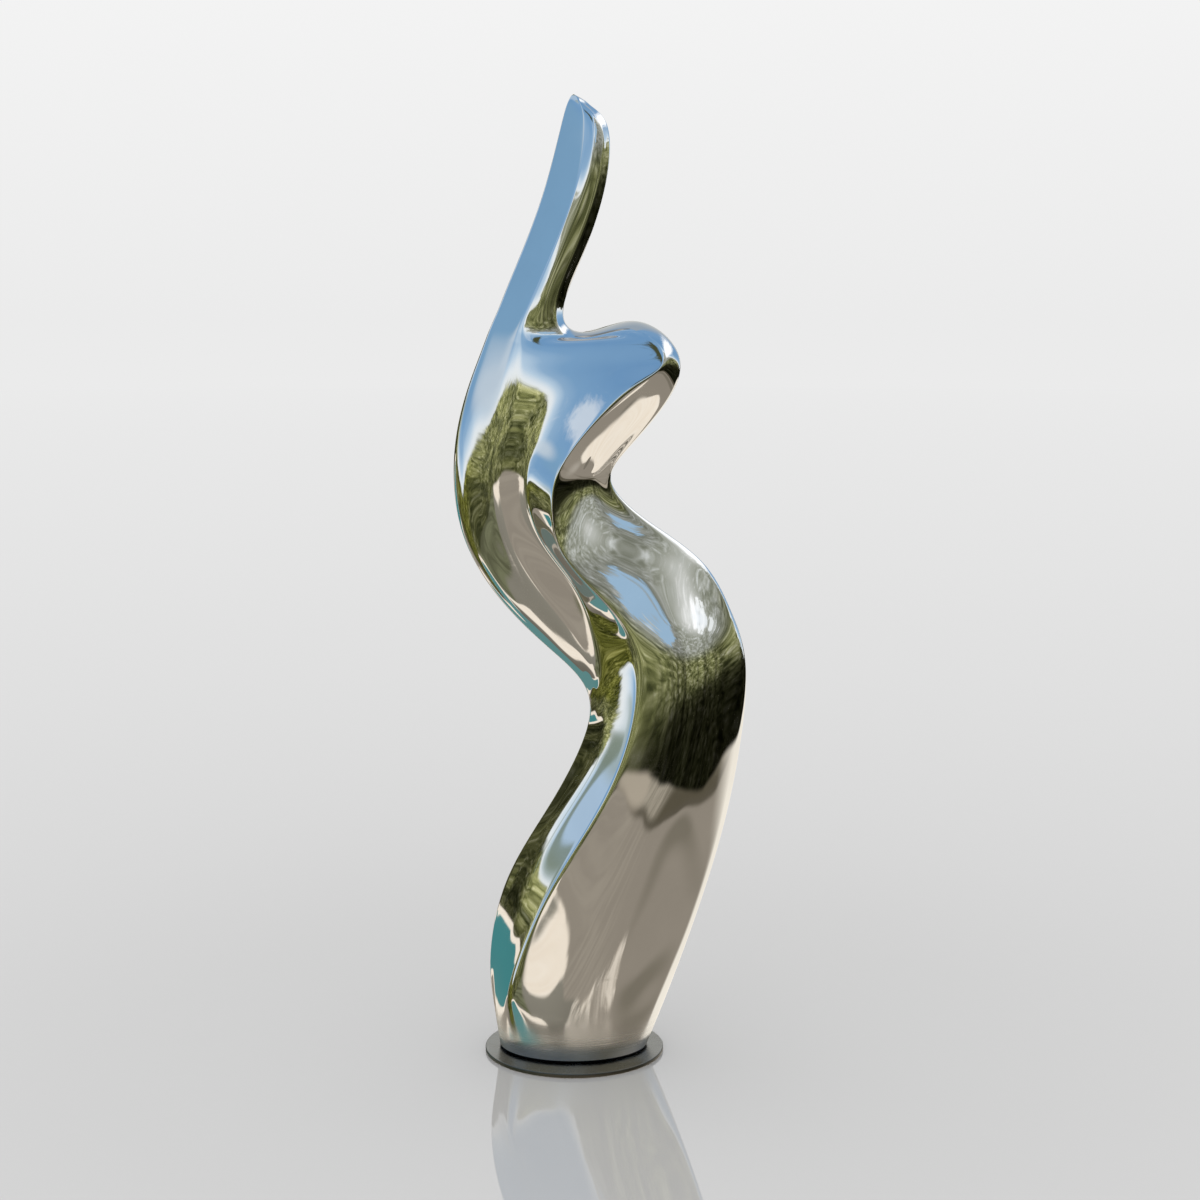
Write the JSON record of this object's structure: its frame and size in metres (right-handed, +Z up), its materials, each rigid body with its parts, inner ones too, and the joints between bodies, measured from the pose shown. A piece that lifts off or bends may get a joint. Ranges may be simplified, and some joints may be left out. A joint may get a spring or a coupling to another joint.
{
  "type": "abstract metal sculpture",
  "caption": "Tall free-standing abstract sculpture: a twisting, mirror-polished steel form with a leaning blade and a rounded lobe, welded to a thin round base plate.",
  "frame": {"origin": "centre of the base plate's underside", "axes": "+Z up, towards the blade's tip; -Y is the front seen in the picture; +X is to the right in that view, the side of the lobe and the hip"},
  "size_m": [0.6104, 0.38, 2.005],
  "materials": {
    "mirror_steel": "mirror polished stainless steel",
    "plate_steel": "satin, finely brushed"
  },
  "bodies": {
    "root": {"sculpture_body": "mirror_steel", "base_plate": "plate_steel"}
  },
  "joints": []
}
